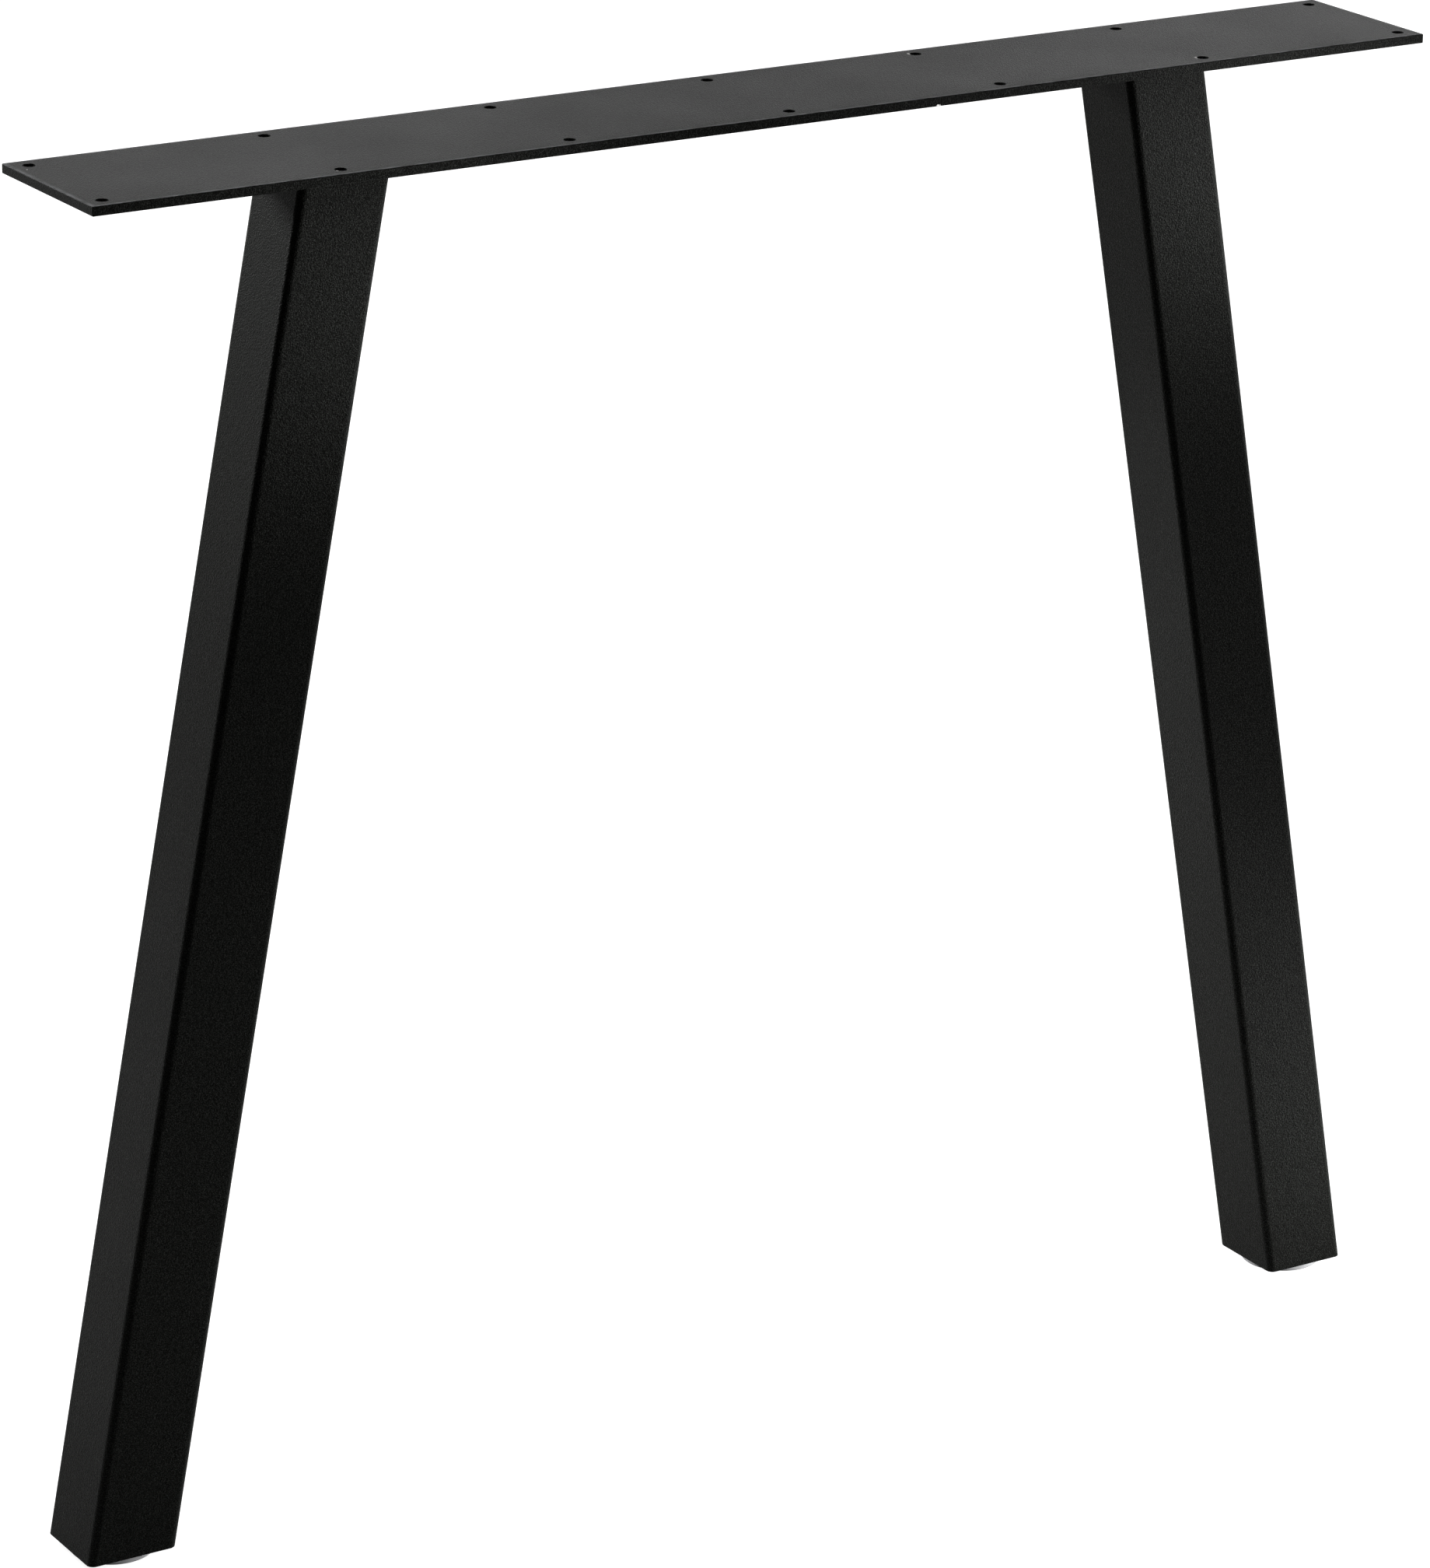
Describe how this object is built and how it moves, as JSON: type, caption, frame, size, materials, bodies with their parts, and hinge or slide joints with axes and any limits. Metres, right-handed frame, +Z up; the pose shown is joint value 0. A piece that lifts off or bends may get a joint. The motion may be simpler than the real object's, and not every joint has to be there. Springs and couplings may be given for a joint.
{
  "type": "trestle table leg",
  "caption": "Steel table leg frame: a flat drilled mounting plate carried by splayed square tubes that stand on low round glides.",
  "frame": {"origin": "on the floor, in the middle of the frame, midway between the two feet", "axes": "+X along the mounting plate and through both feet, +Y across the plate, +Z up to the table top"},
  "size_m": [0.81, 0.1, 0.734],
  "materials": {
    "black_powder_coat": "satin black powder coat with a fine grain",
    "grey_glide_plastic": "smooth light grey moulded plastic"
  },
  "bodies": {
    "root": {"mounting_plate": "black_powder_coat", "leg_tube_left": "black_powder_coat", "leg_tube_right": "black_powder_coat", "weld_left": "black_powder_coat", "weld_right": "black_powder_coat", "foot_plate_left": "black_powder_coat", "foot_plate_right": "black_powder_coat", "glide_left": "grey_glide_plastic", "glide_right": "grey_glide_plastic"}
  },
  "joints": []
}
